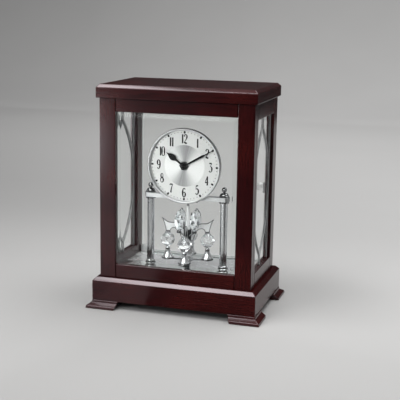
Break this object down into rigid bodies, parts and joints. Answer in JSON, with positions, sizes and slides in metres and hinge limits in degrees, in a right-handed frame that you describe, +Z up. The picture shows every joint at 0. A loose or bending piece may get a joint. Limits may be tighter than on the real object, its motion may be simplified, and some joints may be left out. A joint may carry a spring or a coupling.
{
  "type": "mantel clock with a revolving pendulum",
  "caption": "Dark wood mantel clock with glass walls, leaded side panes, a round dial between chrome columns and a revolving crystal pendulum.",
  "frame": {"origin": "on the table, under the middle of the four feet", "axes": "+X to the right as seen from the front, +Y from the dial to the back door, +Z up"},
  "size_m": [0.228, 0.152, 0.285],
  "materials": {
    "wood": "dark satin lacquer",
    "glass": "clear polished glass",
    "lead": "dull grey lead",
    "mirror_floor": "polished mirror",
    "chrome": "polished chrome",
    "dial_silver": "brushed silver",
    "hand_black": "satin black",
    "black_plastic": "matte moulded",
    "dark_metal": "satin dark",
    "battery_steel": "plain sleeve",
    "crystal": "cut and polished"
  },
  "bodies": {
    "case": {"base_slab": "wood", "cap_slab": "wood", "foot_front_left": "wood", "foot_front_right": "wood", "foot_rear_left": "wood", "foot_rear_right": "wood", "front_stile_left": "wood", "front_stile_right": "wood", "front_top_rail": "wood", "front_bottom_rail": "wood", "front_glass": "glass", "glazing_beads": "wood", "side_stile_left": "wood", "side_stile_right": "wood", "rear_stile_left": "wood", "rear_stile_right": "wood", "side_top_rail_left": "wood", "side_top_rail_right": "wood", "side_bottom_rail_left": "wood", "side_bottom_rail_right": "wood", "side_glass_left": "glass", "side_glass_right": "glass", "side_cames_left": "lead", "side_cames_right": "lead", "back_top_rail": "wood", "back_sill": "wood", "floor_plate": "mirror_floor", "column_left": "chrome", "column_right": "chrome", "column_base_left": "chrome", "column_base_right": "chrome", "column_knob_left": "chrome", "column_knob_right": "chrome", "crossbar": "chrome", "dial_drum": "chrome", "bezel": "chrome", "dial_plate": "dial_silver", "movement_case": "black_plastic", "movement_nut": "chrome", "battery": "battery_steel", "pendulum_motor": "black_plastic", "pivot_cup": "dark_metal", "door_catch": "black_plastic"},
    "back_door": {"back_glass": "glass", "door_clamps": "chrome", "door_pull": "chrome"},
    "hour_hand": {"hour_hand": "hand_black"},
    "minute_hand": {"minute_hand": "hand_black", "hand_cap": "hand_black", "set_knob": "black_plastic"},
    "pendulum": {"spindle": "chrome", "spire": "chrome", "pendulum_hub": "chrome", "leaf_spider": "chrome", "drop_caps": "chrome", "drop_crystals": "crystal", "upper_crystals": "crystal", "lower_cross": "chrome", "bells": "chrome"}
  },
  "joints": [
    {"name": "back_door_hinge", "type": "hinge", "parent": "case", "child": "back_door", "pos_m": [-0.083, 0.057, 0.145], "axis": [0, 0, 1], "range_deg": [0, 90]},
    {"name": "minute_turn", "type": "hinge", "parent": "case", "child": "minute_hand", "pos_m": [0, -0.0225, 0.183], "axis": [0, 1, 0], "continuous": true},
    {"name": "hour_turn", "type": "hinge", "parent": "case", "child": "hour_hand", "pos_m": [0, -0.0225, 0.183], "axis": [0, 1, 0], "continuous": true},
    {"name": "pendulum_turn", "type": "hinge", "parent": "case", "child": "pendulum", "pos_m": [0, -0.0045, 0.09], "axis": [0, 0, 1], "continuous": true}
  ],
  "couplings": [
    {"joint": "hour_turn", "follows": "minute_turn", "ratio": 0.083333}
  ]
}
